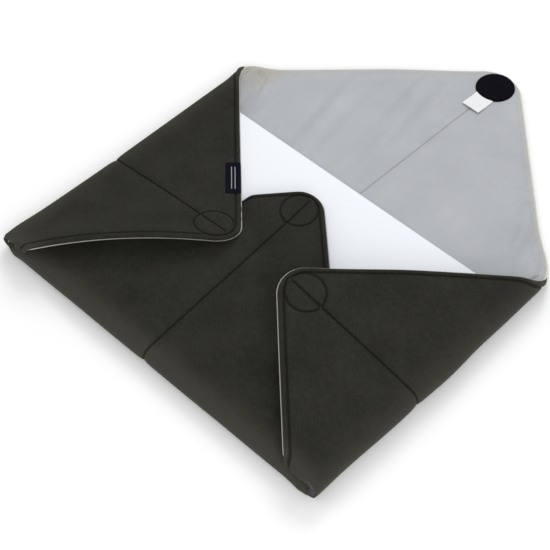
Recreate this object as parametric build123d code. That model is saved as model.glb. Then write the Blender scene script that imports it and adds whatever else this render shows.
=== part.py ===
from build123d import *
import math
import os

# Padded corner-fold wrap: a square quilted sheet whose four corners fold over a flat board.
# Three corners are folded in and the rear one lies open. Each corner carries a hook disc.
# The right one isn't pressed down: its padding has sprung up from the others.
# Millimetres. +Z is up, the sheet lies on Z = 0, and +Y points to the tip of the open corner.
# The origin is the centre of the bounding box's underside. Shapes are drawn about the middle
# of the unfolded sheet first, and placed() shifts them to the origin.

# --- the unfolded sheet -------------------------------------------------------------------
SIDE = 508.0                                # 20 inch square
HALF_DIAGONAL = SIDE / math.sqrt(2)
CORNER_RADIUS = 25.0
COVER = 1.0                                 # knitted outer cover
FOAM = 3.4
LINING = 0.6                                # woven nylon lining
PAD = COVER + FOAM + LINING

# --- the folded shape ---------------------------------------------------------------------
LEFT_FOLD = 185.5                           # sheet's middle to the outside of each fold
RIGHT_FOLD = 192.0
FRONT_FOLD = 130.5
REAR_BEND = 156.0                           # where the open corner would start to bend
FRONT_TOP = 18.0                            # top of each folded corner, above the table
SIDE_TOP = 25.0
REAR_TOP = 32.2                             # the rear corner's top when it is closed
JOIN_GAP = 2.5                              # between a rigid edge and the flap over it
RIGHT_LIFT = 15.0                           # degrees that the right flap springs open by

# --- the board inside ---------------------------------------------------------------------
BOARD = 6.0
BOARD_LIFT = 0.2                            # clearance over the lining
BOARD_LEFT, BOARD_RIGHT = -160.0, 166.0
BOARD_FRONT, BOARD_REAR = -104.0, 131.5
BOARD_TURN = 1.7                            # it lies a little askew, degrees
BOARD_CORNER = 5.0
BOARD_EDGE = 1.5

# --- trim ---------------------------------------------------------------------------------
DISC_RADIUS = 19.0
DISC = 1.4
DISC_TO_CORNER = 32.0                       # disc centre to the sheet's sharp corner
DISC_CHAMFER = 0.3
THREAD_WIDTH = 0.6
THREAD = 0.3
GROOVE_WIDTH = 1.0
GROOVE = 0.4
HEM = 6.0                                   # topstitch to the free edge
RING_RADIUS = 17.5                          # stitching that holds a disc
QUILT_END = 14.0                            # quilting seam's end to the sharp corner
TAG_LENGTH, TAG_WIDTH, TAG = 41.0, 14.0, 0.5
TAG_ALONG = 86.0                            # tag's middle to the left corner's tip, along its edge
LABEL_LENGTH, LABEL_WIDTH, LABEL = 37.0, 20.0, 0.4

# --- worked out ---------------------------------------------------------------------------
FRONT_ROLL = FRONT_TOP / 2                  # outer radius of the front fold
SIDE_ROLL = SIDE_TOP / 2
REAR_ROLL = REAR_TOP / 2
LEFT_EDGE = -LEFT_FOLD + SIDE_ROLL          # the flat middle panel's sides
RIGHT_EDGE = RIGHT_FOLD - SIDE_ROLL
FRONT_EDGE = -FRONT_FOLD + FRONT_ROLL


def folded_length(fold, roll):
    """Flat length of a folded corner, from its roll to the sheet's sharp corner."""
    return HALF_DIAGONAL - (fold - roll) - math.pi * (roll - PAD / 2)


LEFT_LENGTH = folded_length(LEFT_FOLD, SIDE_ROLL)
RIGHT_LENGTH = folded_length(RIGHT_FOLD, SIDE_ROLL)
FRONT_LENGTH = folded_length(FRONT_FOLD, FRONT_ROLL)
REAR_ARC = math.pi * (REAR_ROLL - PAD / 2)  # sheet that the rear bend takes up
REAR_START = REAR_BEND + REAR_ARC
REAR_HINGE = REAR_BEND + REAR_ARC / 2
REAR_LENGTH = HALF_DIAGONAL - REAR_START
LEFT_TIP = LEFT_EDGE + LEFT_LENGTH          # sharp corners of the folded flaps
RIGHT_TIP = RIGHT_EDGE - RIGHT_LENGTH
FRONT_TIP = FRONT_EDGE + FRONT_LENGTH
ROUNDING = CORNER_RADIUS * (math.sqrt(2) - 1)   # what rounding takes off a sharp corner
MIDDLE_X = (RIGHT_FOLD - LEFT_FOLD) / 2
MIDDLE_Y = (HALF_DIAGONAL - ROUNDING - FRONT_FOLD) / 2


def placed(shape):
    """A shape drawn about the sheet's middle, moved to the model's origin."""
    return Pos(-MIDDLE_X, -MIDDLE_Y, 0) * shape


def outline(points, tip=None, radius=CORNER_RADIUS):
    """A flat polygon on Z = 0, with the corner nearest to tip rounded."""
    face = make_face(Polyline(*points, close=True))
    if tip:
        corner = face.vertices().sort_by_distance((*tip, 0))[0]
        face = fillet(corner, radius)
    return face


def slab(face, low, high):
    """A flat face as a slab between two heights."""
    return Pos(0, 0, low) * extrude(face, high - low, dir=(0, 0, 1))


def strip(start, end, width, low, high):
    """A straight flat strip between two points."""
    dx, dy = end[0] - start[0], end[1] - start[1]
    middle = Pos((start[0] + end[0]) / 2, (start[1] + end[1]) / 2, (low + high) / 2)
    turn = Rot(0, 0, math.degrees(math.atan2(dy, dx)))
    return middle * turn * Box(math.hypot(dx, dy), width, high - low)


def ring(centre, radius, width, low, high):
    """A flat ring."""
    at = Pos(*centre, (low + high) / 2)
    return at * (Cylinder(radius + width / 2, high - low) - Cylinder(radius - width / 2, high - low))


def seam_lines(edges, quilts, ring_at, width, low, high):
    """One solid that follows hems, quilting lines and the ring round a disc."""
    lines = [strip(a, b, width, low, high) for a, b in [*edges, *quilts]]
    if ring_at:
        lines.append(ring(ring_at, RING_RADIUS, width, low, high))
    joined = lines[0]
    for line in lines[1:]:
        joined = joined + line
    return joined


def layers(face, outside, face_up):
    """(cover, foam, lining) slabs of the padded sheet. outside is the height of the cover's outer face."""
    sign = -1 if face_up else 1
    heights = [outside + sign * t for t in (0, COVER, COVER + FOAM, PAD)]
    return [slab(face, min(a, b), max(a, b)) for a, b in zip(heights, heights[1:])]


def stitched(cover, face, outside, face_up, edges, quilts, ring_at):
    """The cover with its grooves, and the thread that lies in them, both cut to the panel's outline."""
    sign = -1 if face_up else 1
    floor = outside + sign * GROOVE
    groove = seam_lines(edges, quilts, ring_at, GROOVE_WIDTH, min(outside, floor), max(outside, floor))
    top = floor - sign * THREAD
    thread = seam_lines(edges, quilts, ring_at, THREAD_WIDTH, min(floor, top), max(floor, top))
    room = slab(face, min(outside, floor), max(outside, floor))
    return cover - groove, thread & room


def hook_disc(centre, face_height, pointing_up):
    """A round hook patch that stands on the lining at face_height."""
    middle = face_height + (DISC / 2 if pointing_up else -DISC / 2)
    disc = Cylinder(DISC_RADIUS, DISC)
    rim = disc.edges().group_by(Axis.Z)[-1 if pointing_up else 0]
    return Pos(*centre, middle) * chamfer(rim, DISC_CHAMFER)


def inset_edge(a, b, inside, distance):
    """The line a-b moved by distance towards the point inside, as (start, end)."""
    dx, dy = b[0] - a[0], b[1] - a[1]
    size = math.hypot(dx, dy)
    nx, ny = -dy / size, dx / size
    side = 1 if (inside[0] - a[0]) * nx + (inside[1] - a[1]) * ny > 0 else -1
    shift = (side * nx * distance, side * ny * distance)
    return (a[0] + shift[0], a[1] + shift[1]), (b[0] + shift[0], b[1] + shift[1])


def half_tube(outer, inner, roll, low, high, slant=0, lift=0):
    """Half a tube along +Y, open to +X, whose roll rests on Z = 0, with its far end cut slanting."""
    tube = Cylinder(outer, high - low) - Cylinder(inner, high - low)
    tube = Pos(0, (low + high) / 2, roll) * Rot(90, 0, 0) * tube
    reach = 2 * (roll + high - low)
    tube = tube - Pos(reach / 2, (low + high) / 2, roll) * Box(reach, reach, reach)
    if lift:
        # a lifted flap leans back over the tube's upper half, which ends where the flap begins
        flap = Pos(roll + reach / 2, (low + high) / 2, reach / 2) * Box(reach, reach, reach)
        tube = tube - Pos(-roll, 0, roll) * Rot(0, -lift, 0) * flap
    if slant:
        # the sheet's edge winds round the roll, so the end lies further back at the foot
        knife = Pos(0, high - slant, roll) * Rot(math.degrees(math.atan2(slant, roll)), 0, 0)
        tube = tube - knife * Pos(0, reach / 2, 0) * Box(reach, reach, reach)
    return tube


def rolled_layers(roll, low, high, slant=0, lift=0):
    """(cover, foam, lining) of the padded sheet rolled back over itself along +Y."""
    radii = [roll, roll - COVER, roll - COVER - FOAM, roll - PAD]
    return [half_tube(outer, inner, roll, low, high, slant, lift) for outer, inner in zip(radii, radii[1:])]


def lifted(pieces, hinge, angle):
    """The pieces of a side flap, turned up about their hinge."""
    back = Pos(*(-v for v in hinge))
    return {name: Pos(*hinge) * Rot(0, angle, 0) * back * piece for name, piece in pieces.items()}


def named_layers(name, solids):
    """Three layers under their node names."""
    return {f"{name}_{layer}": solid for layer, solid in zip(("cover", "foam", "lining"), solids)}


# --- outlines, about the middle of the sheet --------------------------------------------
middle_panel = [
    (LEFT_EDGE, FRONT_EDGE), (RIGHT_EDGE, FRONT_EDGE), (RIGHT_EDGE, REAR_BEND), (LEFT_EDGE, REAR_BEND),
]
left_cut = LEFT_LENGTH + FRONT_EDGE         # flap's width left where the front fold cuts it
left_panel = [
    (LEFT_EDGE, FRONT_EDGE), (LEFT_EDGE + left_cut, FRONT_EDGE), (LEFT_TIP, 0), (LEFT_EDGE, LEFT_LENGTH),
]
right_cut = RIGHT_LENGTH + FRONT_EDGE
right_panel = [
    (RIGHT_EDGE, FRONT_EDGE), (RIGHT_EDGE - right_cut, FRONT_EDGE),
    (RIGHT_TIP, 0), (RIGHT_EDGE, RIGHT_LENGTH),
]
front_panel = [
    (LEFT_EDGE, FRONT_EDGE), (LEFT_EDGE, FRONT_TIP + LEFT_EDGE), (0, FRONT_TIP),
    (RIGHT_EDGE, FRONT_TIP - RIGHT_EDGE), (RIGHT_EDGE, FRONT_EDGE),
]
rear_panel = [(-REAR_LENGTH, REAR_START), (REAR_LENGTH, REAR_START), (0, HALF_DIAGONAL)]
rear_strip = [
    (LEFT_EDGE, REAR_BEND), (RIGHT_EDGE, REAR_BEND), (RIGHT_EDGE, HALF_DIAGONAL - RIGHT_EDGE),
    (REAR_LENGTH, REAR_START), (-REAR_LENGTH, REAR_START), (LEFT_EDGE, HALF_DIAGONAL + LEFT_EDGE),
]

# where the left and right flaps lie over the front one, with room for its edge to pass
over_left = outline([
    (LEFT_EDGE - PAD, FRONT_EDGE - PAD), (LEFT_EDGE + left_cut - PAD + JOIN_GAP, FRONT_EDGE - PAD),
    (LEFT_TIP + JOIN_GAP, 0), (LEFT_EDGE - PAD, LEFT_LENGTH + PAD + JOIN_GAP),
])
over_right = outline([
    (RIGHT_EDGE + PAD, FRONT_EDGE - PAD), (RIGHT_EDGE - right_cut + PAD - JOIN_GAP, FRONT_EDGE - PAD),
    (RIGHT_TIP - JOIN_GAP, 0), (RIGHT_EDGE + PAD, RIGHT_LENGTH + PAD + JOIN_GAP),
])


def base_parts():
    """The middle panel that lies on the table, and the loose board on it."""
    face = outline(middle_panel)
    cover, foam, lining = layers(face, 0, face_up=False)
    quilts = [((LEFT_EDGE, 0), (RIGHT_EDGE, 0)), ((0, FRONT_EDGE), (0, REAR_BEND))]
    cover, thread = stitched(cover, face, 0, False, [], quilts, None)
    low = PAD + BOARD_LIFT
    board_face = outline([
        (BOARD_LEFT, BOARD_FRONT), (BOARD_RIGHT, BOARD_FRONT),
        (BOARD_RIGHT, BOARD_REAR), (BOARD_LEFT, BOARD_REAR),
    ])
    board_face = fillet(board_face.vertices(), BOARD_CORNER)
    board = slab(board_face, low, low + BOARD)
    rims = board.edges().group_by(Axis.Z)
    board = Rot(0, 0, BOARD_TURN) * fillet(rims[-1] + rims[0], BOARD_EDGE)
    return {
        **named_layers("base", (cover, foam, lining)),
        "base_stitching": thread, "insert_board": board,
    }


def side_parts(name, panel, tip, edge, length, lift, towards):
    """The left or right flap, folded in: towards is +1 if it reaches to +X, -1 if to -X."""
    face = outline(panel, (tip, 0))
    cover, foam, lining = layers(face, SIDE_TOP, face_up=True)
    inside = (edge, 0)
    hems = [
        inset_edge(panel[1], (tip, 0), inside, HEM),
        inset_edge((tip, 0), panel[3], inside, HEM),
    ]
    # hems stop where the corner's rounding begins
    run = CORNER_RADIUS / math.sqrt(2)
    hems = [
        (hems[0][0], (hems[0][1][0] - towards * run, hems[0][1][1] - run)),
        ((hems[1][0][0] - towards * run, hems[1][0][1] + run), hems[1][1]),
    ]
    quilt = [((edge, 0), (tip - towards * QUILT_END, 0))]
    disc_at = (tip - towards * DISC_TO_CORNER, 0)
    cover, thread = stitched(cover, face, SIDE_TOP, True, hems, quilt, disc_at)
    foot_end = length + math.pi * (SIDE_ROLL - PAD / 2)
    rolls = rolled_layers(SIDE_ROLL, FRONT_EDGE, foot_end, (foot_end - length) / 2, lift)
    rolls = [Pos(edge, 0, 0) * (roll if towards > 0 else mirror(roll, Plane.YZ)) for roll in rolls]
    flap = {
        **named_layers(f"{name}_flap", (cover, foam, lining)),
        f"{name}_flap_stitching": thread,
        f"{name}_hook_disc": hook_disc(disc_at, SIDE_TOP - PAD, pointing_up=False),
    }
    if name == "left":
        flap["brand_tag"] = brand_tag()
    hinge = (edge - towards * SIDE_ROLL, 0, SIDE_ROLL)
    return {**lifted(flap, hinge, -towards * lift), **named_layers(f"{name}_fold", rolls)}


def brand_tag():
    """A blank woven tag that lies on the left flap beside its rear free edge."""
    diagonal = math.sqrt(0.5)
    inset = TAG_WIDTH / 2 * diagonal
    along = TAG_ALONG * diagonal
    at = Pos(LEFT_TIP - along - inset, along - inset, SIDE_TOP + TAG / 2)
    return at * Rot(0, 0, -45) * Box(TAG_LENGTH, TAG_WIDTH, TAG)


def front_parts():
    """The front flap, folded in under the side flaps. What they cover is split off as soft margins."""
    face = outline(front_panel, (0, FRONT_TIP))
    rigid = face - over_left - over_right
    margins = face & (over_left + over_right)
    cover, foam, lining = layers(rigid, FRONT_TOP, face_up=True)
    run = CORNER_RADIUS / math.sqrt(2)
    inside = (0, FRONT_EDGE)
    left_hem = inset_edge(front_panel[1], (0, FRONT_TIP), inside, HEM)
    right_hem = inset_edge((0, FRONT_TIP), front_panel[3], inside, HEM)
    hems = [
        (left_hem[0], (left_hem[1][0] - run, left_hem[1][1] - run)),
        ((right_hem[0][0] + run, right_hem[0][1] - run), right_hem[1]),
    ]
    quilt = [((0, FRONT_EDGE), (0, FRONT_TIP - QUILT_END))]
    disc_at = (0, FRONT_TIP - DISC_TO_CORNER)
    cover, thread = stitched(cover, rigid, FRONT_TOP, True, hems, quilt, disc_at)
    rolls = rolled_layers(FRONT_ROLL, -RIGHT_EDGE, -LEFT_EDGE)
    rolls = [Pos(0, FRONT_EDGE, 0) * Rot(0, 0, 90) * roll for roll in rolls]
    return {
        **named_layers("front_flap", (cover, foam, lining)),
        **named_layers("front_margin", layers(margins, FRONT_TOP, face_up=True)),
        **named_layers("front_fold", rolls),
        "front_flap_stitching": thread,
        "front_hook_disc": hook_disc(disc_at, FRONT_TOP - PAD, pointing_up=False),
    }


def rear_parts():
    """The rear flap, open and flat on the table, with the strip that bends when it closes."""
    tip = (0, HALF_DIAGONAL)
    face = outline(rear_panel, tip)
    cover, foam, lining = layers(face, 0, face_up=False)
    run = CORNER_RADIUS / math.sqrt(2)
    inside = (0, REAR_START)
    left_hem = inset_edge(rear_panel[0], tip, inside, HEM)
    right_hem = inset_edge(tip, rear_panel[1], inside, HEM)
    hems = [
        (left_hem[0], (left_hem[1][0] - run, left_hem[1][1] - run)),
        ((right_hem[0][0] + run, right_hem[0][1] - run), right_hem[1]),
    ]
    quilt = [((0, REAR_START), (0, HALF_DIAGONAL - QUILT_END))]
    disc_at = (0, HALF_DIAGONAL - DISC_TO_CORNER)
    cover, thread = stitched(cover, face, 0, False, hems, quilt, disc_at)
    label_at = disc_at[1] - LABEL_LENGTH / 2
    label = Pos(0, label_at, PAD + LABEL / 2) * Box(LABEL_WIDTH, LABEL_LENGTH, LABEL)
    return {
        **named_layers("rear_flap", (cover, foam, lining)),
        **named_layers("rear_fold", layers(outline(rear_strip), 0, face_up=False)),
        "rear_flap_stitching": thread,
        "rear_hook_disc": hook_disc(disc_at, PAD, pointing_up=True) - label,
        "care_label": label,
    }


os.makedirs("parts", exist_ok=True)
pieces = {
    **base_parts(),
    **side_parts("left", left_panel, LEFT_TIP, LEFT_EDGE, LEFT_LENGTH, 0, 1),
    **side_parts("right", right_panel, RIGHT_TIP, RIGHT_EDGE, RIGHT_LENGTH, RIGHT_LIFT, -1),
    **front_parts(),
    **rear_parts(),
}
for node, shape in pieces.items():
    export_step(placed(shape), f"parts/{node}.step")
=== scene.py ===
import bpy
import math
import numpy as np
from mathutils import Matrix, Vector, geometry


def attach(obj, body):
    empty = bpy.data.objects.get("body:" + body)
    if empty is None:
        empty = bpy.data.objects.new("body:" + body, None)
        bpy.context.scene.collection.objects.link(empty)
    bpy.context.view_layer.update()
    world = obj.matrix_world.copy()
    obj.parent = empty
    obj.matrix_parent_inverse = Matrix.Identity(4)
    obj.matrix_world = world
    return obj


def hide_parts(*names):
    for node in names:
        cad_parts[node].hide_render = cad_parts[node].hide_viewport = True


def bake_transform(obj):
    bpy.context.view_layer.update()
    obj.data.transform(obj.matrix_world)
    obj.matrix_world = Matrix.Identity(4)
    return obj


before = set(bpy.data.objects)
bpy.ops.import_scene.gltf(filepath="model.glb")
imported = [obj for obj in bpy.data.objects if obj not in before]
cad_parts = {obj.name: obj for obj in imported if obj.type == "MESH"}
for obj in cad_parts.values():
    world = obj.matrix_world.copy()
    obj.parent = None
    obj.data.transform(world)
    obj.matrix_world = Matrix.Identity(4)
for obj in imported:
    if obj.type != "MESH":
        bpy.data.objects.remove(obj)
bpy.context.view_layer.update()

# The wrap is one square padded sheet. Every piece is drawn on the flat sheet, in millimetres about
# its middle, and fold_sheet() then rolls it over the front fold and over the left or right one.
# "depth" is measured through the pad: 0 at the knitted cover's face, 5 at the lining's.

# --- the sheet ------------------------------------------------------------------------------
SIDE = 508.0
DIAGONAL = math.sqrt(0.5)
HALF = SIDE / math.sqrt(2)                      # from the middle to an unrounded corner
CORNER, REAR_CORNER = 25.0, 34.0                # the rear corner is cut rounder, close to its disc
PAD, COVER, LINING = 5.0, 1.0, 0.6
ORIGIN = np.array([3.25, 109.177, 0.0])         # the row's origin, seen from the sheet's middle
DISC_R, DISC_T, DISC_IN = 19.0, 1.4, 32.5
HEM = 4.6                                       # topstitch to the edge
HEM_TURN = 3.5                                  # the cover turns this far round the hem
BEAD = 0.75                                     # the lining's edge stands this proud of the cover
RING = 17.6                                     # stitch ring that holds a disc
REAR_CUT = 122.0                                # base and rear pieces meet under the board
BOARD_TOP = 11.2
FLOOR_GAP = 0.02                                # the floor lies this far below the wrap


class Fold:
    """One fold: outward direction, distance, roll radius, and how the flap beyond it rises."""

    def __init__(self, angle, distance, radius, rise, bend, twist, bow=None):
        self.out = np.array([math.cos(angle), math.sin(angle)])
        self.along = np.array([-self.out[1], self.out[0]])
        self.distance, self.radius = distance, radius
        self.rise, self.bend, self.twist = rise, bend, twist
        self.bow = bow or (lambda y: 0.0 * y)

    def start(self, radius=None):
        return self.distance - (self.radius if radius is None else radius)

    def slope(self, length, y):
        return self.rise + self.bend * (length / 160 - 0.5) + self.twist * y / 100


def smooth(t):
    t = np.clip(t, 0, 1)
    return t * t * (3 - 2 * t)


def left_bow(y):
    """The left roll is slack in its rear two thirds and full at its front end."""
    slack = -2.3 * smooth((90 - y) / 90) * (1 - 0.6 * smooth((-y - 150) / 30))
    return slack + 2.6 * np.exp(-((y - 112) / 22) ** 2)


def right_bow(y):
    """The right roll is full in its middle and pinched at its front end."""
    full = 1.8 * np.exp(-((y - 36) / 30) ** 2) + 1.0 * smooth((y - 60) / 50)
    return full - 2.8 * smooth((-y - 20) / 80)


LEFT = Fold(math.pi + 0.0174, 187.5, 9.83, 0.110, -0.027, 0.252, left_bow)
RIGHT = Fold(0.0309, 193.5, 13.2, 0.297, -0.010, 0.040, right_bow)
FRONT = Fold(-math.pi / 2 + 0.0309, 126.1, 9.38, 0.037, 0.002, 0.0, lambda y: 1.2 + 0.0 * y)
LEFT.mouth, RIGHT.mouth = 14.0, 11.0            # how far front_mouth() draws the front roll back
CORNER_ROLL = 5.4                               # the front fold is pressed flatter at its two ends
CORNER_NEUTRAL = CORNER_ROLL - PAD / 2


def soft_max(a, b, k):
    """The larger of two heights, with the crossing rounded over about k millimetres."""
    return np.logaddexp(a / k, b / k) * k


def roll_over(fold, xy, depth, radius, lift=None):
    """Points of the sheet, or of an already folded stack whose height is depth, rolled over a fold."""
    s = xy @ fold.out - (fold.distance - radius)
    y = xy @ fold.along
    neutral = radius - PAD / 2
    start_angle = np.arctan(fold.slope(0.0, y))
    end = neutral * (math.pi - start_angle)
    turn = np.clip(s, 0, end) / neutral
    reach = (fold.distance - radius) + (radius - depth + fold.bow(y)) * np.sin(turn)
    height = radius - (radius - depth) * np.cos(turn)
    length = np.maximum(s - end, 0)
    chord = np.arctan(fold.slope(length, y))
    face = np.arctan(fold.slope(length, y) + length * fold.bend / 160)
    on_flap = s > end
    flap_reach = (fold.distance - radius) + radius * np.sin(start_angle) - length * np.cos(chord)
    flap_height = radius + radius * np.cos(start_angle) + length * np.sin(chord)
    if lift is not None:
        flap_height = lift(fold, flap_reach, y, flap_height, length)
    reach = np.where(on_flap, flap_reach - depth * np.sin(face), reach)
    height = np.where(on_flap, flap_height - depth * np.cos(face), height)
    flat = s <= 0
    reach = np.where(flat, xy @ fold.out, reach)
    height = np.where(flat, depth, height)
    xy = reach[:, None] * fold.out + y[:, None] * fold.along
    return np.column_stack([xy, height])


def front_radius(xy):
    """The front fold is round in its middle and pressed flat where the side folds cross it."""
    x = xy[:, 0]
    inside = np.minimum(x + LEFT.start(), RIGHT.start() - x)
    return CORNER_ROLL + (FRONT.radius - CORNER_ROLL) * smooth(inside / 22)


def front_mouth(side, uv):
    """Where the front roll goes round a side fold it is drawn back towards the rear."""
    past = uv @ FRONT.out - FRONT.start(CORNER_ROLL)
    turn = np.clip(past, 0, CORNER_NEUTRAL * math.pi) / CORNER_NEUTRAL
    s = uv @ side.out - side.start()
    near = smooth((s + 6) / 10) * (1 - smooth((s - 26) / 12))
    back = near * (side.mouth * np.sin(turn) ** 4 - 3.0 * np.sin(turn))
    return back[:, None] * np.array([0.0, 1.0])


def left_face(x, y):
    """Height of the left flap's outer face over a point, without what it rests on."""
    xy = np.column_stack([x, y])
    along = xy @ LEFT.along
    length = np.maximum(LEFT.start() - xy @ LEFT.out, 0)
    return 2 * LEFT.radius + length * np.sin(np.arctan(LEFT.slope(length, along)))


def under_left(x, y):
    """How far inside the left flap's outline a point lies, seen from above."""
    tip_x, tip_y = -20.1, 5.9
    return np.minimum(tip_x - x + (y - tip_y) * 0.96, tip_x - x - (y - tip_y) * 1.04) * DIAGONAL


def under_front(x, y):
    """How far inside the front flap's outline a point lies."""
    tip_x, tip_y = -14.2, 100.7
    return np.minimum(tip_y - y + (x - tip_x) * 1.06, tip_y - y - (x - tip_x) * 0.94) * DIAGONAL


def rest_left(fold, reach, y, height, length):
    """The left flap lies on the board and on the front flap's edge."""
    xy = reach[:, None] * fold.out + y[:, None] * fold.along
    on_board = smooth((xy[:, 0] + 176) / 14)
    on_front = smooth(under_front(xy[:, 0], xy[:, 1]) / 34 + 0.9)
    below = 5.6 + on_board * (BOARD_TOP - 5.4) + 5.3 * on_front
    return soft_max(height, below + PAD, 1.6)


def rest_front(fold, reach, y, height, length):
    """The front flap gives way under the left one, and bows a little between its edges."""
    xy = reach[:, None] * fold.out + y[:, None] * fold.along
    free = np.maximum(-under_left(xy[:, 0], xy[:, 1]), 0)
    over = soft_max(left_face(xy[:, 0], xy[:, 1]), np.full(len(xy), BOARD_TOP + 2 * PAD + 1.0), 1.6)
    ceiling = over - PAD + 0.9 * free
    return -soft_max(-height, -ceiling, 1.2)


def rear_lift(uv):
    """The rear flap's left edge stands a little off the table, and curls up at the left fold."""
    s = uv @ LEFT.out - LEFT.start()
    along = 4.0 * (1 - smooth((uv[:, 0] + 95) / 70)) + 6.0 * np.exp(-((s - 4) / 13) ** 2)
    near_edge = np.exp(-(edge_distance(uv) / 22) ** 2) * smooth((uv[:, 1] - 140) / 25)
    return along * near_edge * (1 - smooth((s - 8) / 16))


def right_lift(uv):
    """The right flap's rear edge stands a little off the cloth below it."""
    s = uv @ RIGHT.out - RIGHT.start()
    along = smooth((s - 22) / 15) * (1 - smooth((s - 95) / 55))
    return 3.0 * along * np.exp(-(edge_distance(uv) / 32) ** 2) * smooth(uv[:, 1] / 20)


def front_tuck(uv):
    """The front flap's right hem is drawn in a little, more towards the fold."""
    from_edge = SIDE / 2 - (uv[:, 0] - uv[:, 1]) * DIAGONAL
    inward = 1.6 + 1.6 * smooth((uv[:, 1] + 320) / 90)
    return inward * np.exp(-(from_edge / 16) ** 2) * smooth((-uv[:, 1] - 190) / 50)


def fold_sheet(uv, depth):
    """Points of the flat sheet, and their depth in the pad, on the folded wrap."""
    bulge = 3.2 * np.exp(-np.hypot(uv[:, 0] - 170, uv[:, 1] - 189) ** 2 / 500)      # at the rear right
    flat = np.column_stack([uv + bulge[:, None] * DIAGONAL, depth])
    tucked = uv + front_tuck(uv)[:, None] * np.array([-DIAGONAL, DIAGONAL])
    front = roll_over(FRONT, tucked, depth, front_radius(uv), rest_front)
    out = np.where((uv @ FRONT.out > FRONT.distance - front_radius(uv))[:, None], front, flat)
    stack = np.where(out[:, 2] > PAD, PAD + 0.72 * (out[:, 2] - PAD), out[:, 2])
    for side, lift in ((LEFT, rest_left), (RIGHT, None)):
        out[:, :2] += front_mouth(side, uv)
        past = uv @ side.out > side.start()
        if past.any():
            rolled = roll_over(side, out[:, :2], stack, side.radius, lift)
            out = np.where(past[:, None], rolled, out)
    out[:, 2] += rear_lift(uv) + right_lift(uv)
    return out


# --- distances on the flat sheet --------------------------------------------------------------
def edge_distance(uv):
    """Distance to the sheet's edge, positive inside."""
    radius = np.where(uv[:, 1] > np.abs(uv[:, 0]), REAR_CORNER, CORNER)
    a = np.abs(uv @ np.array([1.0, 1.0])) / math.sqrt(2) - (SIDE / 2 - radius)
    b = np.abs(uv @ np.array([-1.0, 1.0])) / math.sqrt(2) - (SIDE / 2 - radius)
    outside = np.hypot(np.maximum(a, 0), np.maximum(b, 0)) + np.minimum(np.maximum(a, b), 0)
    return radius - outside


DISCS = {
    "left": (-(HALF - DISC_IN), 0.0), "right": (HALF - DISC_IN, 0.0),
    "front": (0.0, -(HALF - DISC_IN)), "rear": (0.0, HALF - DISC_IN - 0.8),
}


def ring_distance(uv):
    return np.min([np.abs(np.hypot(*(uv - np.array(c)).T) - RING) for c in DISCS.values()], axis=0)


def quilt_distance(uv):
    """Distance to the nearer quilting seam; the seams run along both diagonals, into the discs."""
    d = np.minimum(np.abs(uv[:, 0]), np.abs(uv[:, 1]))
    past_disc = np.maximum(np.max(np.abs(uv), axis=1) - (HALF - DISC_IN + 14), 0)
    return np.hypot(d, past_disc)


def seam_map(uv):
    """Distance to the nearest stitched line, and distance to the sheet's edge."""
    edge = edge_distance(uv)
    seam = np.min([quilt_distance(uv), ring_distance(uv), np.abs(edge - HEM)], axis=0)
    return np.column_stack([seam, edge])


def fold_highlight_and_fade_map(uv):
    """Where a highlight is painted on the cover just past each fold, in place of light grazing the
    rolled edge, and where the lining is faded, at its rear left.
    """
    # painted highlight: 1 about 12 mm past each fold's start, where the cover rolls over
    over = [np.exp(-((uv @ f.out - f.start() - 12) / 15) ** 2) for f in (LEFT, RIGHT, FRONT)]
    faded = smooth((-uv[:, 0] - 150) / 14) * smooth((uv[:, 1] - 150) / 10)
    return np.column_stack([np.max(over, axis=0), faded])


def waves(uv, *terms):
    """A sum of sines: each term is amplitude, wavelength, direction in degrees, phase."""
    total = np.zeros(len(uv))
    for amplitude, length, angle, phase in terms:
        a = math.radians(angle)
        along = uv @ np.array([math.cos(a), math.sin(a)])
        total += amplitude * np.sin(along * 2 * math.pi / length + phase)
    return total


def bump_at(uv, centre, across, along, angle):
    """1 at a point and falling off round it, longer in one direction."""
    a = math.radians(angle)
    d = uv - np.array(centre)
    p, q = d @ np.array([math.cos(a), math.sin(a)]), d @ np.array([-math.sin(a), math.cos(a)])
    return np.exp(-(p / along) ** 2 - (q / across) ** 2)


# soft rucks in the rear flap's lining: place, width, length, direction in degrees, height
RUCKS = (
    ((-118, 196), 6.0, 44, 98, 1.1), ((-82, 205), 7.0, 60, 100, 1.2), ((-30, 225), 9.0, 70, 105, 1.2),
    ((-140, 182), 4.0, 26, 95, 0.8), ((139, 196), 6.0, 32, 109, 3.2), ((118, 200), 5.0, 26, 100, 1.0),
    ((163, 186), 4.0, 20, 115, 1.0), ((60, 262), 4.0, 18, 40, 0.7), ((95, 240), 3.5, 15, 50, 0.6),
    ((-14, 290), 4.0, 14, 100, 0.8), ((-26, 286), 3.0, 12, 104, 0.6),
)


def cover_face(uv):
    """Depth of the cover's outer face: it sinks into every seam and rounds over at the hem."""
    d = edge_distance(uv)
    hem = HEM_TURN * (1 - np.sqrt(1 - (1 - np.clip(d / 3.0, 0, 1)) ** 2))
    stitch = 0.95 * np.exp(-((d - HEM) / 0.9) ** 2) + 0.35 * np.exp(-((d - HEM) / 3.2) ** 2)
    quilt = quilt_distance(uv)
    seam = 1.25 * np.exp(-(quilt / 0.95) ** 2) + 0.85 * np.exp(-(quilt / 5.0) ** 2)
    ring = ring_distance(uv)
    circle = 1.0 * np.exp(-(ring / 0.9) ** 2) + 0.45 * np.exp(-(ring / 3.0) ** 2)
    pucker = 0.10 * np.sin(np.max(np.abs(uv), axis=1) * math.pi / 3.2) * np.exp(-(quilt / 4) ** 2)
    return hem + stitch + seam + circle + pucker


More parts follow.
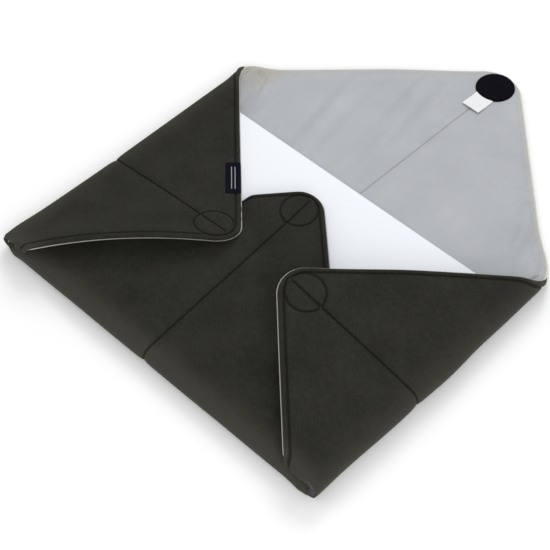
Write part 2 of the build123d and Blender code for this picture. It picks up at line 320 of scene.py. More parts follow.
def lining_face(uv):
    """Depth of the lining's outer face, with the rear flap's soft waves and puckers."""
    d = edge_distance(uv)
    face = PAD - 0.3 * np.exp(-((d - HEM) / 0.8) ** 2)
    face -= 0.5 * np.exp(-(ring_distance(uv) / 0.9) ** 2)
    quilt = quilt_distance(uv)
    face -= 0.55 * np.exp(-(quilt / 0.8) ** 2) + 0.35 * np.exp(-(quilt / 4.5) ** 2)
    beyond = np.maximum(uv @ LEFT.out - LEFT.start(), uv @ RIGHT.out - RIGHT.start())
    rucked = 1 - smooth((beyond - 6) / 12)
    from_disc = np.hypot(*(uv - np.array(DISCS["rear"])).T)
    calm = rucked * smooth((uv[:, 1] - 100) / 60) * smooth(quilt / 14) * smooth((d - 3) / 14)
    calm *= smooth((from_disc - 40) / 16)       # flat under the rear disc and the label below it
    left_side = smooth(-uv[:, 0] / 40)
    long_waves = waves(uv, (1.7, 54, 12, 0.5), (0.75, 33, 16, 2.0), (0.28, 17, 8, 0.8))
    face += calm * (1.5 + left_side * long_waves)
    face += calm * (1 - left_side) * waves(uv, (0.20, 64, -35, 1.0), (0.12, 35, -20, 2.2))
    hem = rucked * smooth((d - 1.0) / 6)
    for centre, across, along, angle, high in RUCKS:
        face += high * bump_at(uv, centre, across, along, angle) * hem
    edge = rucked * np.exp(-((d - 6) / 6) ** 2) * smooth((uv[:, 0] - 20) / 30)
    face += edge * waves(uv, (0.34, 15, -45, 0.3), (0.24, 8.5, -45, 1.7))
    corner = bump_at(uv, (-172, 176), 15, 24, -45) * hem
    face += corner * (1.2 + waves(uv, (0.9, 8.5, 22, 0.6), (0.7, 5.2, 32, 1.1), (0.4, 3.9, 14, 0.4)))
    corner = bump_at(uv, (164, 180), 14, 24, -50) * hem
    face += corner * (1.0 + waves(uv, (0.8, 9.5, 27, 0.2), (0.5, 5.5, 38, 1.3)))
    return face


# --- meshes ------------------------------------------------------------------------------------
def rounded_square(grow=0.0, step=2.4):
    """The sheet's outline as points, anticlockwise, grown by a few tenths for the lining's bead."""
    arcs = []
    for k, radius in enumerate((CORNER, REAR_CORNER, CORNER, CORNER)):
        a = k * math.pi / 2
        centre = (HALF - radius * math.sqrt(2)) * np.array([math.cos(a), math.sin(a)])
        t = np.linspace(a - math.pi / 4, a + math.pi / 4, 22)
        arcs.append(centre + (radius + grow) * np.column_stack([np.cos(t), np.sin(t)]))
    points = []
    for arc, after in zip(arcs, arcs[1:] + arcs[:1]):
        n = int(np.linalg.norm(after[0] - arc[-1]) / step)
        points += list(arc) + [arc[-1] + (after[0] - arc[-1]) * i / n for i in range(1, n)]
    return np.array(points)


def clipped(points, cuts):
    """A convex outline cut by half planes: each is a direction and the least reach along it."""
    for direction, least in cuts:
        direction = np.array(direction)
        kept = []
        for p, q in zip(points, np.roll(points, -1, axis=0)):
            a, b = p @ direction - least, q @ direction - least
            if a >= 0:
                kept.append(p)
            if a * b < 0:
                kept.append(p + (q - p) * a / (a - b))
        points = np.array(kept)
    dense = []
    for p, q in zip(points, np.roll(points, -1, axis=0)):
        n = max(1, int(np.linalg.norm(q - p) / 3.0))
        dense += [p + (q - p) * i / n for i in range(n)]
    return np.array(dense)


class Filter:
    """Keeps points that are far enough from every point kept before."""

    def __init__(self):
        self.cells, self.points = {}, []

    @staticmethod
    def cell(p):
        return int(math.floor(p[0] / 4)), int(math.floor(p[1] / 4))

    def add(self, points, gap):
        around = [(a, b) for a in (-1, 0, 1) for b in (-1, 0, 1)]
        for p in points:
            i, j = self.cell(p)
            near = (q for a, b in around for q in self.cells.get((i + a, j + b), ()))
            if all((p[0] - q[0]) ** 2 + (p[1] - q[1]) ** 2 >= gap * gap for q in near):
                self.cells.setdefault((i, j), []).append(p)
                self.points.append(p)


def panel_mesh(cuts, grow=0.0, pitch=3.0, fine=True):
    """Triangulated part of the flat sheet: its points, outline first, its triangles, outline length."""
    outline = clipped(rounded_square(grow), cuts)
    keep = Filter()
    keep.points = list(outline)
    for p in outline:
        keep.cells.setdefault(keep.cell(p), []).append(p)

    def inside(points, margin):
        points = np.array(points)
        ok = edge_distance(points) > max(margin, 0) - min(grow, 0)
        for direction, least in cuts:
            ok &= points @ np.array(direction) > least + min(margin, 0.6)
        return points[ok]

    if fine:
        for inset in (0.35, 0.8, 1.4, 2.1, 2.8, 3.6, 4.2, 4.7, 5.3, 6.2, 7.6, 9.6):
            keep.add(inside(rounded_square(-inset), inset * 0.8), 0.33)
        if grow > 0:
            keep.add(inside(rounded_square(0.0), 0.0), 0.25)
        for centre in DISCS.values():
            for r in (14.5, 15.8, 16.7, 17.3, 17.9, 18.6, 19.6, 21.2):
                t = np.linspace(0, 2 * math.pi, 56, endpoint=False)
                circle = np.column_stack([centre[0] + r * np.cos(t), centre[1] + r * np.sin(t)])
                keep.add(inside(circle, 2.0), 0.5)
        line = np.arange(-HALF, HALF, 1.6)
        for off in (0.0, 0.7, -0.7, 1.5, -1.5, 2.7, -2.7, 4.6, -4.6):
            keep.add(inside(np.column_stack([line, np.full_like(line, off)]), 2.0), 0.55)
            keep.add(inside(np.column_stack([np.full_like(line, off), line]), 2.0), 0.55)
    rows = np.arange(-HALF - 2, HALF + 2, pitch * 0.87)
    grid = [
        (x + (pitch / 2 if i % 2 else 0), y)
        for i, y in enumerate(rows) for x in np.arange(-HALF - 2, HALF + 2, pitch)
    ]
    keep.add(inside(np.array(grid), 2.0), pitch * 0.62)
    points = np.array(keep.points)
    n = len(outline)
    verts, _, faces, *_ = geometry.delaunay_2d_cdt(
        [Vector(p) for p in points], [(i, (i + 1) % n) for i in range(n)], [], 1, 1e-5, False)
    uv = np.array([tuple(v) for v in verts])
    a, b, c = (uv[[f[i] for f in faces]] for i in range(3))
    area = np.abs((b - a)[:, 0] * (c - a)[:, 1] - (b - a)[:, 1] * (c - a)[:, 0]) / 2
    kept = [tuple(f) for f, size in zip(faces, area) if max(f) >= n or size > 0.003]
    return uv, kept, n


def row(points):
    return (points - ORIGIN) / 1000.0


def make_object(name, verts, faces, material, uv=None, sharp=60):
    mesh = bpy.data.meshes.new(name)
    mesh.from_pydata([tuple(v) for v in verts], [], [tuple(f) for f in faces])
    mesh.validate()
    if uv is not None:
        loops = np.zeros(len(mesh.loops), np.int32)
        mesh.loops.foreach_get("vertex_index", loops)
        maps = {"sheet": uv / 1000, "seams": seam_map(uv) / 1000, "fold_highlight_and_fade": fold_highlight_and_fade_map(uv)}
        for key, values in maps.items():
            layer = mesh.uv_layers.new(name=key)
            layer.data.foreach_set("uv", values[loops].astype(np.float32).ravel())
    obj = bpy.data.objects.new(name, mesh)
    bpy.context.scene.collection.objects.link(obj)
    mesh.materials.append(material)
    mesh.polygons.foreach_set("use_smooth", [True] * len(mesh.polygons))
    mesh.set_sharp_from_angle(angle=math.radians(sharp))
    return obj


def shell(name, panel, outer, inner, material):
    """A closed thin piece between two depths of the sheet, folded."""
    uv, faces, n = panel
    top, bottom = fold_sheet(uv, outer(uv)), fold_sheet(uv, inner(uv))
    verts = row(np.vstack([top, bottom]))
    count = len(uv)
    both = [tuple(reversed(f)) for f in faces] + [tuple(i + count for i in f) for f in faces]
    walls = [(i, (i + 1) % n, (i + 1) % n + count, i + count) for i in range(n)]
    return make_object(name, verts, both + walls, material, np.vstack([uv, uv]))


# --- materials ---------------------------------------------------------------------------------
class Nodes:
    """Short names for building a node material."""

    def __init__(self, name, **sockets):
        self.material = bpy.data.materials.new(name)
        self.material.use_nodes = True
        self.tree = self.material.node_tree
        self.shader = self.tree.nodes["Principled BSDF"]
        for key, value in sockets.items():
            self.shader.inputs[key.replace("_", " ")].default_value = value

    def node(self, kind, inputs=None, **settings):
        made = self.tree.nodes.new(kind)
        for key, value in settings.items():
            setattr(made, key, value)
        for key, value in (inputs or {}).items():
            self.feed(made.inputs[key], value)
        return made

    def feed(self, socket, value):
        if hasattr(value, "is_output"):
            self.tree.links.new(value, socket)
        else:
            socket.default_value = value

    def math(self, operation, a, b=0.0):
        made = self.node("ShaderNodeMath", operation=operation)
        self.feed(made.inputs[0], a)
        self.feed(made.inputs[1], b)
        return made.outputs[0]

    def ramp(self, value, low, high, a, b):
        made = self.node("ShaderNodeMapRange", {"Value": value, "From Min": low, "From Max": high,
                                                "To Min": a, "To Max": b})
        return made.outputs[0]

    def mix(self, factor, a, b):
        made = self.node("ShaderNodeMix", data_type="RGBA")
        self.feed(made.inputs[0], factor)
        self.feed(made.inputs[6], a)
        self.feed(made.inputs[7], b)
        return made.outputs[2]

    def noise(self, vector, scale, detail=2.0, rough=0.5):
        made = self.node("ShaderNodeTexNoise", {"Vector": vector, "Scale": scale, "Detail": detail,
                                                "Roughness": rough})
        return made.outputs["Fac"]

    def sheet(self):
        return self.node("ShaderNodeUVMap", uv_map="sheet").outputs[0]

    def split(self, vector):
        return self.node("ShaderNodeSeparateXYZ", {"Vector": vector}).outputs

    def seams(self):
        """Distance to the nearest seam, and to the sheet's edge, in metres."""
        both = self.split(self.node("ShaderNodeUVMap", uv_map="seams").outputs[0])
        return both[0], both[1]

    # column 0 is the painted highlight past the folds, column 1 is where the lining is faded
    def fold_highlight_and_fade(self, column):
        return self.split(self.node("ShaderNodeUVMap", uv_map="fold_highlight_and_fade").outputs[0])[column]

    def object(self):
        return self.node("ShaderNodeTexCoord").outputs["Object"]

    def turned(self, vector, angle, scale=(1, 1, 1)):
        rotation = (0, 0, math.radians(angle))
        made = self.node("ShaderNodeMapping", {"Vector": vector, "Rotation": rotation, "Scale": scale})
        return made.outputs[0]

    def wave(self, vector, pitch, axis="X", distortion=0.0):
        made = self.node("ShaderNodeTexWave", {"Vector": vector, "Scale": 1 / pitch / 3.1831,
                                               "Distortion": distortion, "Detail": 1.0},
                         wave_type="BANDS", bands_direction=axis)
        return made.outputs["Fac"]

    def bump(self, height, strength, distance, after=None):
        made = self.node(
            "ShaderNodeBump", {"Height": height, "Strength": strength, "Distance": distance})
        if after is not None:
            self.tree.links.new(after, made.inputs["Normal"])
        return made.outputs[0]

    def finish(self, color=None, normal=None, roughness=None):
        for key, value in (("Base Color", color), ("Normal", normal), ("Roughness", roughness)):
            if value is not None:
                self.feed(self.shader.inputs[key], value)
        return self.material


def knit(name, dark, light, wale=0.0011):
    """Fine knitted jersey: columns of loops along the sheet's sides, a heathered tone, a soft nap, a
    painted highlight where the cover rolls over a fold and painted shade in its stitched grooves.
    """
    m = Nodes(name, Roughness=0.92, Specular_IOR_Level=0.05,
              Sheen_Weight=0.14, Sheen_Roughness=0.35, Sheen_Tint=(0.62, 0.6, 0.5, 1))
    flat = m.turned(m.sheet(), 45)
    columns = m.wave(flat, wale)
    courses = m.wave(flat, wale * 0.8, "Y", 0.6)
    loops = m.math("MULTIPLY", columns, m.math("ADD", m.math("MULTIPLY", courses, 0.6), 0.4))
    heather = m.noise(m.turned(m.sheet(), 45, (1.0, 0.45, 1.0)), 1000, 3, 0.75)
    cloudy = m.noise(m.sheet(), 26, 3, 0.55)
    worn = m.noise(m.sheet(), 180, 2, 0.6)
    tone = m.math("ADD", m.math("MULTIPLY", heather, 0.66),
                  m.math("ADD", m.math("MULTIPLY", cloudy, 0.34), m.math("MULTIPLY", worn, 0.22)))
    tone = m.ramp(tone, 0.50, 0.72, -0.1, 1.1)
    color = m.mix(tone, dark, light)
    color = m.mix(m.math("MULTIPLY", loops, 0.25), color, tuple(2.1 * c for c in light[:3]) + (1,))
    stitch, _ = m.seams()
    # painted highlight: the cover is drawn lighter over each fold's rolled edge, standing in for
    # grazing light
    color = m.mix(m.math("MULTIPLY", m.fold_highlight_and_fade(0), 0.70), color, (0.066, 0.062, 0.051, 1))
    # painted shade: the cover is darkened in and beside every stitched groove
    groove_shade = tuple(0.28 * c for c in dark[:3]) + (1,)
    color = m.mix(m.ramp(stitch, 0.0004, 0.0019, 0.62, 0.0), color, groove_shade)
    normal = m.bump(loops, 0.55, 0.0004)
    normal = m.bump(m.noise(m.sheet(), 420, 3, 0.6), 0.30, 0.0007, normal)
    normal = m.bump(cloudy, 0.25, 0.004, normal)
    return m.finish(color, normal, m.ramp(heather, 0.3, 0.7, 0.84, 0.97))


def nylon(name, dark, light, thread=0.00075):
    """Plain woven nylon lining with a faint sheen and fine cross threads, a beige hem strip, painted
    shade in its stitched grooves and a painted highlight on its edge bead.
    """
    m = Nodes(name, Roughness=0.5, Sheen_Weight=0.12, Sheen_Roughness=0.4, Specular_IOR_Level=0.38)
    flat = m.turned(m.sheet(), 45)
    weft, warp = m.wave(flat, thread, "Y", 0.3), m.wave(flat, thread, "X", 0.3)
    weave = m.math("MAXIMUM", weft, warp)
    slub = m.noise(m.turned(m.sheet(), 45, (0.12, 1.6, 1.0)), 900, 3, 0.6)
    cloudy = m.noise(m.sheet(), 18, 3, 0.5)
    tone = m.math("ADD", m.math("MULTIPLY", slub, 0.55), m.math("MULTIPLY", cloudy, 0.45))
    color = m.mix(m.ramp(tone, 0.34, 0.66, 0, 1), dark, light)
    color = m.mix(m.math("MULTIPLY", weave, 0.25), color, tuple(0.8 * c for c in dark[:3]) + (1,))
    stitch, edge = m.seams()
    ribs = m.wave(flat, 0.0034, "X", 0.3)
    color = m.mix(m.math("MULTIPLY", ribs, 0.08), color, tuple(0.72 * c for c in dark[:3]) + (1,))
    faded = m.math("MULTIPLY", m.fold_highlight_and_fade(1), m.ramp(edge, 0.008, 0.026, 0.75, 0.0))
    color = m.mix(faded, color, (0.40, 0.375, 0.315, 1))
    color = m.mix(m.ramp(edge, 0.0010, 0.0034, 0.8, 0.0), color, (0.44, 0.42, 0.37, 1))
    # painted highlight: the edge bead, within 1 mm of the edge, is drawn paler than the beige hem
    # strip, as if light catches it
    color = m.mix(m.ramp(edge, 0.0002, 0.0010, 0.9, 0.0), color, (0.66, 0.64, 0.59, 1))
    # painted shade: the lining is darkened along its stitched grooves, but not at the hem
    groove_shade = m.math("MULTIPLY", m.ramp(stitch, 0.0003, 0.0011, 0.4, 0.0),
                    m.ramp(edge, 0.006, 0.0075, 0.0, 1.0))
    color = m.mix(groove_shade, color, tuple(0.55 * c for c in dark[:3]) + (1,))
    normal = m.bump(weave, 0.35, 0.0002)
    normal = m.bump(slub, 0.18, 0.0004, normal)
    normal = m.bump(m.noise(m.sheet(), 60, 3, 0.55), 0.10, 0.003, normal)
    return m.finish(color, normal, m.ramp(slub, 0.3, 0.7, 0.42, 0.6))


def foam_material():
    m = Nodes("foam", Roughness=0.95)
    cells = m.node("ShaderNodeTexVoronoi", {"Vector": m.object(), "Scale": 900.0}).outputs["Distance"]
    color = m.mix(m.ramp(cells, 0.0, 0.6, 0.0, 1.0), (0.02, 0.02, 0.02, 1), (0.06, 0.06, 0.06, 1))
    return m.finish(color, m.bump(cells, 0.5, 0.0005))


def thread_material(name, dark, light):
    m = Nodes(name, Roughness=0.85, Specular_IOR_Level=0.1)
    ply = m.noise(m.object(), 2600, 2, 0.5)
    return m.finish(m.mix(ply, dark, light), m.bump(ply, 0.6, 0.0002))


def hook_material():
    m = Nodes("hook_tape", Roughness=0.5, Specular_IOR_Level=0.03)
    hooks = m.node("ShaderNodeTexVoronoi", {"Vector": m.turned(m.object(), 45), "Scale": 780.0})
    rows = m.wave(m.turned(m.object(), 45), 0.0016, "X", 0.5)
    tone = m.math("MULTIPLY", m.ramp(hooks.outputs["Distance"], 0.0, 0.7, 1.0, 0.0), rows)
    color = m.mix(tone, (0.0012, 0.0012, 0.0026, 1), (0.008, 0.008, 0.016, 1))
    normal = m.bump(tone, 0.9, 0.0006)
    return m.finish(color, m.bump(m.noise(m.object(), 500, 3, 0.6), 0.4, 0.0008, normal))


def tape_material(name, dark, light, pitch, stripe=None):
    """A woven tape or label. A stripe is a pale line on both sides of the middle: its distance from
    the middle, half width, half length and colour."""
    m = Nodes(name, Roughness=0.7, Specular_IOR_Level=0.05)
    weft = m.wave(m.sheet(), pitch, "X", 0.2)
    warp = m.wave(m.sheet(), pitch, "Y", 0.2)
    grain = m.noise(m.sheet(), 900, 2, 0.6)
    color = m.mix(grain, dark, light)
    if stripe is not None:
        middle, half_width, half_length, line_color = stripe
        along, across = m.split(m.sheet())[:2]
        from_line = m.math("ABSOLUTE", m.math("SUBTRACT", m.math("ABSOLUTE", across), middle))
        line = m.math("MULTIPLY", m.math("LESS_THAN", from_line, half_width),
                      m.math("LESS_THAN", m.math("ABSOLUTE", along), half_length))
        color = m.mix(m.math("MULTIPLY", line, 0.7), color, line_color)
    normal = m.bump(m.math("MAXIMUM", weft, warp), 0.4, 0.0002)
    return m.finish(color, normal)


def board_material():
    m = Nodes("board", Roughness=0.42, Specular_IOR_Level=0.4)
    haze = m.noise(m.object(), 9, 3, 0.5)
    grain = m.noise(m.object(), 700, 3, 0.6)
    color = m.mix(haze, (0.80, 0.83, 0.88, 1), (0.86, 0.88, 0.92, 1))
    return m.finish(color, m.bump(grain, 0.10, 0.0004), m.ramp(grain, 0.3, 0.7, 0.36, 0.5))


COVER_MAT = knit("knit_cover", (0.0155, 0.0152, 0.0128, 1), (0.0300, 0.0293, 0.0242, 1))
LINING_MAT = nylon("lining", (0.39, 0.405, 0.42, 1), (0.50, 0.515, 0.53, 1))
FOAM_MAT = foam_material()
DARK_THREAD = thread_material("dark_thread", (0.008, 0.008, 0.007, 1), (0.022, 0.022, 0.02, 1))
HEM_THREAD = thread_material("hem_thread", (0.36, 0.37, 0.37, 1), (0.46, 0.47, 0.47, 1))
PALE_THREAD = thread_material("pale_thread", (0.10, 0.095, 0.085, 1), (0.20, 0.19, 0.17, 1))
HOOK_MAT = hook_material()
TAG_MAT = tape_material("woven_tag", (0.0015, 0.002, 0.005, 1), (0.004, 0.005, 0.011, 1), 0.0007,
                        (0.0016, 0.0004, 0.0150, (0.42, 0.45, 0.50, 1)))
LABEL_MAT = tape_material("care_label", (0.78, 0.79, 0.80, 1), (0.88, 0.88, 0.89, 1), 0.0006)
BOARD_MAT = board_material()

# --- the panels --------------------------------------------------------------------------------
TO_LEFT = (-LEFT.out, -LEFT.start())            # stays on the base's side of the left roll
TO_RIGHT = (-RIGHT.out, -RIGHT.start())
TO_FRONT = (-FRONT.out, -FRONT.start())


def across(fold, start, end):
    """The line a flap bends along: two points as distance past the roll's start, and height."""
    return [tuple(fold.out * (fold.start() + reach)) + (height,) for reach, height in (start, end)]


PANELS = {
    "base": ([TO_LEFT, TO_RIGHT, TO_FRONT, ((0, -1), -REAR_CUT)], "base", None),
    "left": ([(LEFT.out, LEFT.start())], "left_flap",
             across(LEFT, (-4.2, 1.6), (-9.4, 10.2))),
    "right": ([(RIGHT.out, RIGHT.start())], "right_flap",
              across(RIGHT, (2.2, 4.7), (-6.4, 18.9))),
    "front": ([TO_LEFT, TO_RIGHT, (FRONT.out, FRONT.start())], "front_flap",
              across(FRONT, (-4.1, 1.6), (-8.6, 9.8))),
    "rear": ([TO_LEFT, TO_RIGHT, ((0, 1), REAR_CUT)], "rear_flap", ((0, 156, 0), (0, 198.7, 0))),
}


def cover_inner(uv):
    return np.minimum(cover_face(uv) + COVER, HEM_TURN + 0.25)


def stitched(uv):
    """1 near any stitching, 0 elsewhere: the foam is pressed flat there."""
    near = np.min([quilt_distance(uv), ring_distance(uv), edge_distance(uv) - HEM], axis=0)
    return 1 - smooth((near - 3) / 6)


def foam_outer(uv):
    return 1.15 + 1.75 * stitched(uv)


def foam_inner(uv):
    return 3.9 - 0.8 * stitched(uv)


def lining_outer(uv):
    """The lining's edge is turned in against the cover's."""
    turn = 1 - np.clip((edge_distance(uv) + BEAD) / 1.3, 0, 1)
    return lining_face(uv) - 1.2 * (1 - np.sqrt(1 - turn ** 2))


def lining_inner(uv):
    return np.minimum(lining_face(uv) - LINING, lining_outer(uv) - 0.1)


FOAM_INSET, FOAM_PITCH = 1.4, 6.0
made = {}
for name, (cuts, _, _) in PANELS.items():
    panel = panel_mesh(cuts)
    pieces = {
        "cover": shell(f"{name}_knit_cover", panel, cover_face, cover_inner, COVER_MAT),
        "lining": shell(
            f"{name}_lining_cloth", panel_mesh(cuts, BEAD), lining_outer, lining_inner, LINING_MAT),
        "foam": shell(
            f"{name}_foam_layer", panel_mesh(cuts, -FOAM_INSET, FOAM_PITCH, False),
            foam_outer, foam_inner, FOAM_MAT),
    }
    made[name] = (panel, pieces)


def join_body(obj, name):
    """A base piece follows the base's body; any other piece only has its placement baked into its mesh.
    """
    _, body, bend = PANELS[name]
    if bend is None:
        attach(obj, body)
    else:
        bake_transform(obj)


NODE_PARTS = {"base": ("",), "front": ("_flap", "_margin", "_fold")}
for name, ((uv, _, count), pieces) in made.items():
    for layer, obj in pieces.items():
        join_body(obj, name)
        parts = NODE_PARTS.get(name, ("_flap", "_fold"))
        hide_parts(*(f"{name}{part}_{layer}" for part in parts))


# --- stitching ---------------------------------------------------------------------------------
def stitch_mesh(name, runs, depth_at, proud, material, width=0.55, thick=0.42):
    """Short rounded stitches laid end to end along runs of points on the sheet."""
    faces, centres, ends = [], [], []
    for run in runs:
        for a, b in zip(run[:-1], run[1:]):
            centres.append((a + b) / 2)
            ends.append((b - a) / 2)
    centres, ends = np.array(centres), np.array(ends)
    sides = 6
    # place along the half stitch, and share of its thickness there
    half = [(0.45, 1.0), (0.78, 0.6), (0.86, 0.0)]
    profile = [(-along, size) for along, size in reversed(half)] + [(0.0, 1.08)] + half
    normal = np.column_stack([-ends[:, 1], ends[:, 0]]) / np.linalg.norm(ends, axis=1)[:, None]
    depth = depth_at(centres)
    grid_uv, grid_depth = [], []
    for along, size in profile:
        for k in range(sides):
            t = 2 * math.pi * k / sides
            grid_uv.append(centres + ends * along + normal * (width / 2 * size * math.cos(t)))
            grid_depth.append(depth + proud + thick / 2 * size * math.sin(t))
    rings, count = len(profile), len(centres)
    flat = fold_sheet(np.vstack(grid_uv), np.concatenate(grid_depth))
    flat = flat.reshape(rings * sides, count, 3).transpose(1, 0, 2).reshape(-1, 3)
    uv = np.array(grid_uv).transpose(1, 0, 2).reshape(-1, 2)
    for s in range(count):
        base = s * rings * sides
        for r in range(rings - 1):
            for k in range(sides):
                a, b = base + r * sides + k, base + r * sides + (k + 1) % sides
                faces.append((a, b, b + sides, a + sides))
        faces.append(tuple(base + k for k in reversed(range(sides))))
        faces.append(tuple(base + (rings - 1) * sides + k for k in range(sides)))
    return make_object(name, row(flat), faces, material, uv)


def hem_run(cuts, pitch=3.1):
    """Points along the topstitch, inside the panel, split where the panel's cuts interrupt it."""
    ring = rounded_square(-HEM, step=0.5)
    closed = np.vstack([ring, ring[:1]])
    lengths = np.concatenate([[0], np.cumsum(np.linalg.norm(np.diff(closed, axis=0), axis=1))])
    at = np.arange(0, lengths[-1], pitch)
    points = np.column_stack([np.interp(at, lengths, closed[:, i]) for i in (0, 1)])
    ok = np.ones(len(points), bool)
    for direction, least in cuts:
        ok &= points @ np.array(direction) > least + 1.5
    runs, run = [], []
    first = int(np.argmin(ok))                  # start outside the panel, so that no run is split
    for i in range(first, first + len(points) + 1):
        if ok[i % len(points)]:
            run.append(points[i % len(points)])
        else:
            if len(run) > 1:
                runs.append(np.array(run))
            run = []
    return runs


def line_run(start, end, pitch=3.1):
    start, end = np.array(start, float), np.array(end, float)
    n = int(np.linalg.norm(end - start) / pitch)
    return start + (end - start) * (np.arange(n + 1) / n)[:, None]


def circle_run(centre, pitch=3.0):
    n = int(2 * math.pi * RING / pitch)
    t = np.linspace(0, 2 * math.pi, n + 1)
    return np.array(centre) + RING * np.column_stack([np.cos(t), np.sin(t)])


QUILT_END = HALF - DISC_IN + 12
QUILTS = {
    "base": [((-LEFT.start() + 2, 0), (RIGHT.start() - 8, 0)),
             ((0, -FRONT.start() + 2), (0, REAR_CUT - 2))],
    "left": [((-LEFT.start() - 4, 0), (-QUILT_END, 0))],
    "right": [((RIGHT.start() + 8, 0), (QUILT_END, 0))],
    "front": [((0, -FRONT.start() - 4), (0, -QUILT_END))],
    "rear": [((0, REAR_CUT + 2), (0, QUILT_END))],
}
for name, (cuts, _, _) in PANELS.items():
    hems, seams = [], [line_run(*ends) for ends in QUILTS[name]]
    if name in DISCS:
        hems, seams = hem_run(cuts), seams + [circle_run(DISCS[name])]
    top = stitch_mesh(f"{name}_stitches", seams + hems, cover_face, 0.12, DARK_THREAD)
    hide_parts(f"{name}_stitching" if name == "base" else f"{name}_flap_stitching")
    under = [(f"{name}_seam_underside", seams, PALE_THREAD),
             (f"{name}_hem_underside", hems, HEM_THREAD)]
    threads = [top] + [stitch_mesh(n, r, lining_face, -0.10, m, 0.5, 0.4) for n, r, m in under if r]
    for thread in threads:
        join_body(thread, name)


# --- hook discs --------------------------------------------------------------------------------
def hook_disc(name):
    """A round hook patch on the lining, with a rounded rim and rows of hooks on its face."""
    centre = np.array(DISCS[name])
    face = np.arange(0.0, 17.6, 0.8)
    radii = np.concatenate([face, [18.0, 18.5, 18.8, DISC_R, DISC_R]])
    rim = [DISC_T - 0.05, DISC_T - 0.25, DISC_T - 0.6, DISC_T - 1.0, 0.02]
    lifts = np.concatenate([np.full(len(face), DISC_T), rim])
    around = 120
    uvs, depths = [], []
    for r, lift in zip(radii, lifts):
        for k in range(around):
            t = 2 * math.pi * k / around
            p = centre + r * np.array([math.cos(t), math.sin(t)])
            q = (p - centre) @ np.array([[1, 1], [-1, 1]]) * DIAGONAL * 2 * math.pi
            hooks = 0.16 * math.sin(q[0] / 1.7) * math.sin(q[1] / 1.9) if r < 18 else 0
            uvs.append(p)
            depths.append(PAD + lift + hooks)
    uv = np.array(uvs)
    folded = fold_sheet(uv, np.array(depths))
    faces = []
    for i in range(len(radii) - 1):
        for k in range(around):
            a, b = i * around + k, i * around + (k + 1) % around
            faces.append((a, a + around, b + around, b))
    last = (len(radii) - 1) * around
    faces.append(tuple(last + k for k in range(around)))
    obj = make_object(f"{name}_hook_patch", row(folded), faces, HOOK_MAT, uv, 75)
    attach(obj, PANELS[name][1])
    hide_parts(f"{name}_hook_disc")


for name in DISCS:
    hook_disc(name)


# --- tag, label, board -------------------------------------------------------------------------
def tape(name, centre, angle, length, width, depth_at, thick, material, curl):
    """A woven tape laid on the sheet and following it, with rounded edges; curl lifts it off."""
    nx, ny = 36, 20
    a = math.radians(angle)
    along, across = np.array([math.cos(a), math.sin(a)]), np.array([-math.sin(a), math.cos(a)])
    local = np.array([(x, y) for x in np.linspace(-length / 2, length / 2, nx + 1)
                      for y in np.linspace(-width / 2, width / 2, ny + 1)])
    uv = np.array(centre) + local[:, :1] * along + local[:, 1:] * across
    rim = np.minimum(length / 2 - np.abs(local[:, 0]), width / 2 - np.abs(local[:, 1]))
    edge = 0.5 * thick * (1 - smooth(rim / 0.5)) * 0.8
    lift = curl(local)
    depth = depth_at(uv)
    sign = -1 if depth.mean() < PAD / 2 else 1       # on the cover's face, or on the lining's
    under, over = depth + sign * (0.03 + lift + edge), depth + sign * (thick + lift - edge)
    verts = np.vstack([fold_sheet(uv, under), fold_sheet(uv, over)])
    n, stride, faces = len(uv), ny + 1, []
    for i in range(nx):
        for j in range(ny):
            q = (i * stride + j, i * stride + j + 1, (i + 1) * stride + j + 1, (i + 1) * stride + j)
            faces.append(q if sign > 0 else tuple(reversed(q)))
            faces.append(tuple(v + n for v in (reversed(q) if sign > 0 else q)))
    loop = [i * stride for i in range(nx)] + [nx * stride + j for j in range(ny)]
    loop += [(nx - i) * stride + ny for i in range(nx)] + [ny - j for j in range(ny)]
    for p, q in zip(loop, loop[1:] + loop[:1]):
        wall = (p, q, q + n, p + n)
        faces.append(tuple(reversed(wall)) if sign > 0 else wall)
    return make_object(name, row(verts), faces, material, np.vstack([local, local]), 50)


TAG_L, TAG_W, TAG_T = 41.0, 14.0, 0.55
TAG_ALONG = 86.0 * DIAGONAL                     # its middle, up the rear left edge from its corner
TAG_INSET = (TAG_W / 2 - 0.2) * DIAGONAL
tag = tape("woven_side_tag", (TAG_ALONG + TAG_INSET - HALF, TAG_ALONG - TAG_INSET), 45, TAG_L, TAG_W,
           lambda uv: cover_face(uv) * 0.35, TAG_T, TAG_MAT,
           lambda p: 0.25 + 0.35 * np.exp(-(p[:, 1] / 5.0) ** 2))
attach(tag, "left_flap")
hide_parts("brand_tag")

LABEL_L, LABEL_W, LABEL_T = 22.0, 20.0, 0.35
label = tape("blank_care_label", (0.9, HALF - DISC_IN - 28.0), 90, LABEL_L, LABEL_W,
             lambda uv: np.full(len(uv), PAD + 0.2), LABEL_T, LABEL_MAT,
             lambda p: 0.3 + 0.9 * smooth((-p[:, 0] + 2) / 12) + 0.25 * np.cos(p[:, 1] * 0.16))
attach(label, "rear_flap")
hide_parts("care_label")

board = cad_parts["insert_board"]
board.data.materials.clear()
board.data.materials.append(BOARD_MAT)

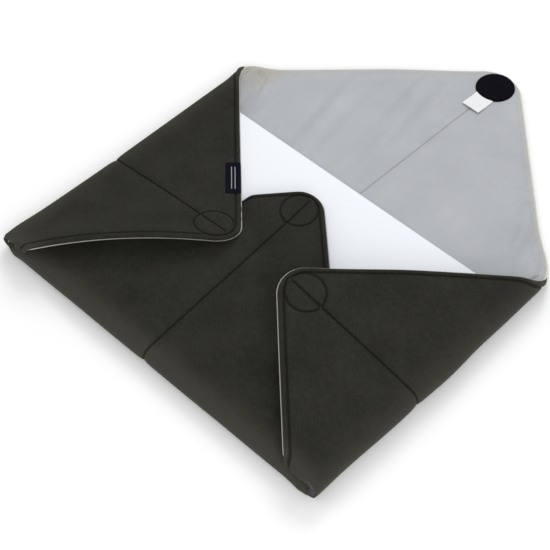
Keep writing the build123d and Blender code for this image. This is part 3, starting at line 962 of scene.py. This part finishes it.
# --- floor, light, camera ----------------------------------------------------------------------
floor = make_object("floor", [(-3, -3, 0), (3, -3, 0), (3, 3, 0), (-3, 3, 0)], [(0, 1, 2, 3)],
                    Nodes("floor", Roughness=1.0, Base_Color=(1.0, 1.0, 1.0, 1)).material)
floor.location.z = -FLOOR_GAP / 1000

world = bpy.data.worlds.new("studio")
bpy.context.scene.world = world
world.use_nodes = True
world.node_tree.nodes["Background"].inputs["Color"].default_value = (1.0, 1.0, 1.0, 1)
world.node_tree.nodes["Background"].inputs["Strength"].default_value = 0.66
bpy.context.scene.view_settings.view_transform = "Standard"


def area_light(name, position, target, size, power):
    light = bpy.data.lights.new(name, "AREA")
    light.shape, light.size, light.energy = "SQUARE", size, power
    obj = bpy.data.objects.new(name, light)
    bpy.context.scene.collection.objects.link(obj)
    obj.location = position
    obj.rotation_mode = "QUATERNION"
    obj.rotation_quaternion = (Vector(target) - Vector(position)).to_track_quat("-Z", "Y")
    return obj


area_light("key", (-0.75, 1.0, 1.25), (0, 0, 0), 0.8, 9.2)
area_light("front_fill", (1.3, -1.0, 1.3), (0, -0.05, 0), 1.0, 14.5)

# camera: where it looks, from what side and how far, in the sheet's millimetres
AZIMUTH, ELEVATION, ROLL = math.radians(47.08), math.radians(51.89), math.radians(-1.96)
DISTANCE, FOCAL = 1271.8, 1447.9                # mm, and pixels for a 550 pixel wide picture
TARGET = np.array([9.454, 17.741, 0.0])
back = np.array([math.sin(AZIMUTH) * math.cos(ELEVATION), -math.cos(AZIMUTH) * math.cos(ELEVATION),
                 math.sin(ELEVATION)])
level = np.array([math.cos(AZIMUTH), math.sin(AZIMUTH), 0.0])
upward = np.cross(back, level)
right = level * math.cos(ROLL) + upward * math.sin(ROLL)
up = -level * math.sin(ROLL) + upward * math.cos(ROLL)
camera_data = bpy.data.cameras.new("camera")
camera = bpy.data.objects.new("camera", camera_data)
bpy.context.scene.collection.objects.link(camera)
camera_data.sensor_width = 36.0
camera_data.lens = FOCAL * 36.0 / 550.0
matrix = Matrix([list(right) + [0], list(up) + [0], list(back) + [0], [0, 0, 0, 1]]).transposed()
matrix.translation = Vector(row((TARGET + back * DISTANCE)[None, :])[0])
camera.matrix_world = matrix
camera_data.clip_start, camera_data.clip_end = 0.05, 20
bpy.context.scene.camera = camera
